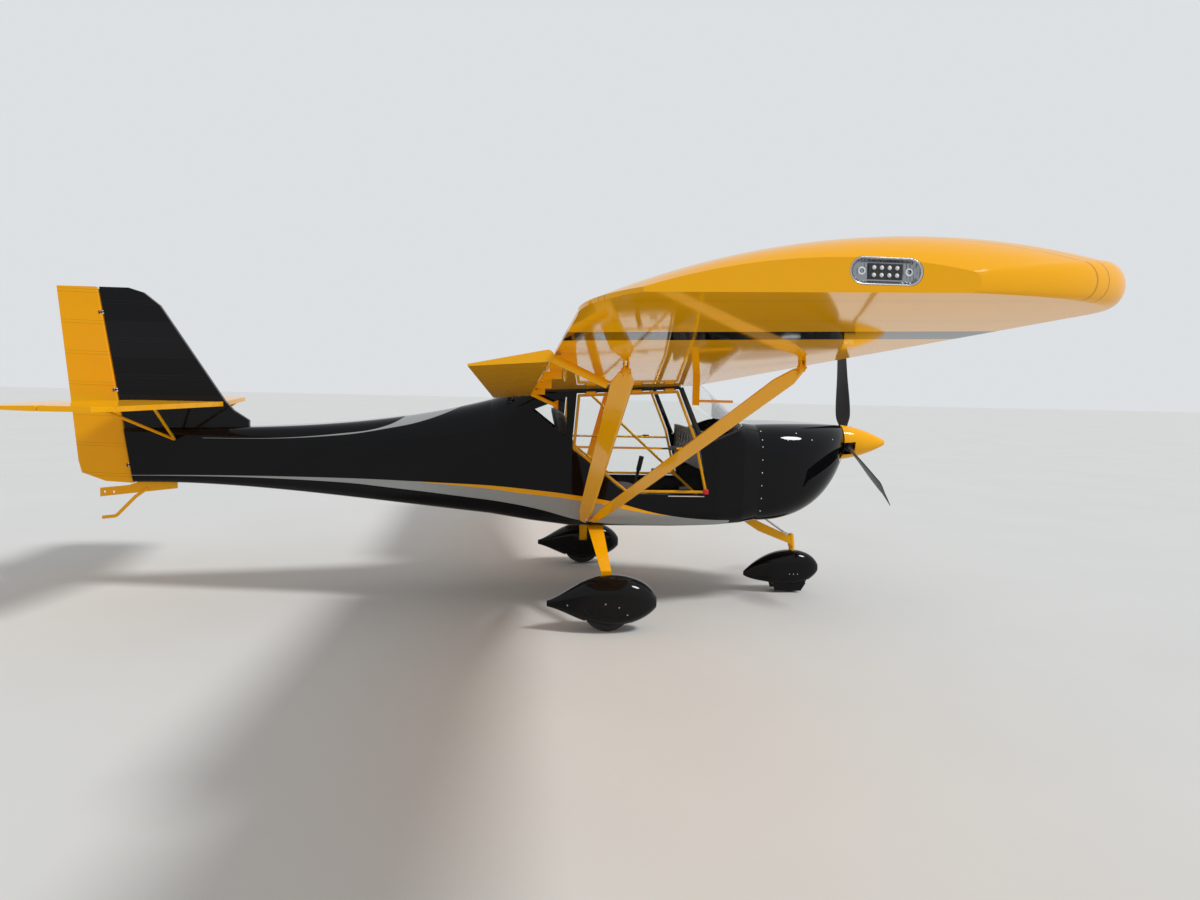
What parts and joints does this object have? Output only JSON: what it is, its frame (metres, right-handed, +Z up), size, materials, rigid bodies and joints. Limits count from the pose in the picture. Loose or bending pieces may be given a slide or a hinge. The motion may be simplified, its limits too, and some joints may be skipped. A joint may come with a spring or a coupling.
{
  "type": "two-seat high-wing ultralight aircraft",
  "caption": "Strut-braced high-wing light aircraft with a tricycle undercarriage under wheel fairings, tractor propeller, clear gull doors and hung flaperons.",
  "frame": {"origin": "on the ground below the middle of the whole length, on the plane of symmetry", "axes": "+X forward to the spinner, +Y to the left wing tip, +Z up"},
  "size_m": [5.617, 9.2, 2.015],
  "materials": {
    "black_gloss": "glossy black paint on thin covering and composite shells",
    "black_shell": "glossy black paint on moulded composite",
    "yellow_fabric": "glossy yellow painted covering",
    "yellow_metal": "glossy yellow powder coat on steel tube",
    "yellow_shell": "glossy yellow paint on moulded composite",
    "clear": "clear thin polycarbonate sheet",
    "lamp_clear": "clear lamp cover over bright reflectors",
    "blade": "satin black composite",
    "tyre": "black rubber",
    "alloy": "bare machined alloy",
    "engine": "dull grey castings",
    "bulkhead": "bare sheet steel",
    "panel": "matt black sheet",
    "seat": "dark woven seat cloth"
  },
  "bodies": {
    "airframe": {"upper_cowl": "black_shell", "lower_cowl": "black_shell", "engine_block": "engine", "firewall": "bulkhead", "scuttle_panel": "black_shell", "cabin_tub": "black_shell", "windscreen": "clear", "roof_glass": "clear", "rear_cabin_shell": "black_shell", "rear_windows": "clear", "rear_fuselage": "black_gloss", "fin": "black_gloss", "stabilizer": "yellow_fabric", "tail_braces": "yellow_metal", "tow_plate": "yellow_metal", "tail_skid": "yellow_metal", "wing_left": "yellow_fabric", "wing_right": "yellow_fabric", "tip_lamps": "lamp_clear", "flaperon_brackets": "yellow_metal", "front_strut_left": "yellow_fabric", "front_strut_right": "yellow_fabric", "rear_strut_left": "yellow_fabric", "rear_strut_right": "yellow_fabric", "pitot_mast": "yellow_metal", "main_leg_left": "yellow_metal", "main_leg_right": "yellow_metal", "main_spat_left": "black_shell", "main_spat_right": "black_shell", "nose_leg": "yellow_metal", "strut_fittings": "alloy", "door_hinges": "alloy", "seat_cushions": "seat", "seat_backs": "seat", "seat_bases": "seat", "instrument_panel": "panel", "control_stick": "panel", "cabin_frame": "yellow_metal"},
    "propeller": {"propeller": "blade", "spinner": "yellow_shell"},
    "door_left": {"door_frame_left": "yellow_metal", "door_glass_left": "clear"},
    "door_right": {"door_frame_right": "yellow_metal", "door_glass_right": "clear"},
    "flaperon_left": {"flaperon_left": "yellow_fabric"},
    "flaperon_right": {"flaperon_right": "yellow_fabric"},
    "rudder": {"rudder": "yellow_fabric"},
    "elevator": {"elevator_left": "yellow_fabric", "elevator_right": "yellow_fabric", "elevator_torque_tube": "yellow_metal"},
    "nose_fork": {"nose_fork": "yellow_metal", "nose_spat": "black_shell"},
    "nose_wheel": {"nose_tyre": "tyre", "nose_hub": "alloy"},
    "main_wheel_left": {"main_tyre_left": "tyre", "main_hub_left": "alloy"},
    "main_wheel_right": {"main_tyre_right": "tyre", "main_hub_right": "alloy"}
  },
  "joints": [
    {"name": "propeller_spin", "type": "hinge", "parent": "airframe", "child": "propeller", "pos_m": [2.5065, 0, 1.086], "axis": [1, 0, 0], "continuous": true},
    {"name": "main_wheel_left_spin", "type": "hinge", "parent": "airframe", "child": "main_wheel_left", "pos_m": [0.7185, 0.964, 0.15], "axis": [0, 1, 0], "continuous": true},
    {"name": "main_wheel_right_spin", "type": "hinge", "parent": "airframe", "child": "main_wheel_right", "pos_m": [0.7185, -0.964, 0.15], "axis": [0, 1, 0], "continuous": true},
    {"name": "nose_steering", "type": "hinge", "parent": "airframe", "child": "nose_fork", "pos_m": [2.1485, 0, 0.372], "axis": [-0.1392, 0, 0.9903], "range_deg": [-20, 20]},
    {"name": "nose_wheel_spin", "type": "hinge", "parent": "nose_fork", "child": "nose_wheel", "pos_m": [2.1515, 0, 0.13], "axis": [0, 1, 0], "continuous": true},
    {"name": "door_left_hinge", "type": "hinge", "parent": "airframe", "child": "door_left", "pos_m": [0.71803, 0.568, 1.4142], "axis": [0.9982, 0, 0.0593], "range_deg": [0, 84]},
    {"name": "door_right_hinge", "type": "hinge", "parent": "airframe", "child": "door_right", "pos_m": [0.71803, -0.568, 1.4142], "axis": [-0.9982, 0, -0.0593], "range_deg": [0, 84]},
    {"name": "rudder_hinge", "type": "hinge", "parent": "airframe", "child": "rudder", "pos_m": [-2.3665, 0, 0.735], "axis": [-0.1538, 0, 0.9881], "range_deg": [-25, 25]},
    {"name": "elevator_hinge", "type": "hinge", "parent": "airframe", "child": "elevator", "pos_m": [-2.3435, 0, 1.27], "axis": [0, 1, 0], "range_deg": [-20, 25]},
    {"name": "flaperon_left_hinge", "type": "hinge", "parent": "airframe", "child": "flaperon_left", "pos_m": [0.24213, 0, 1.36526], "axis": [-0.0001, 0.9987, 0.0519], "range_deg": [-17, 28]},
    {"name": "flaperon_right_hinge", "type": "hinge", "parent": "airframe", "child": "flaperon_right", "pos_m": [0.24213, 0, 1.36526], "axis": [0.0001, 0.9987, -0.0519], "range_deg": [-17, 28]}
  ]
}
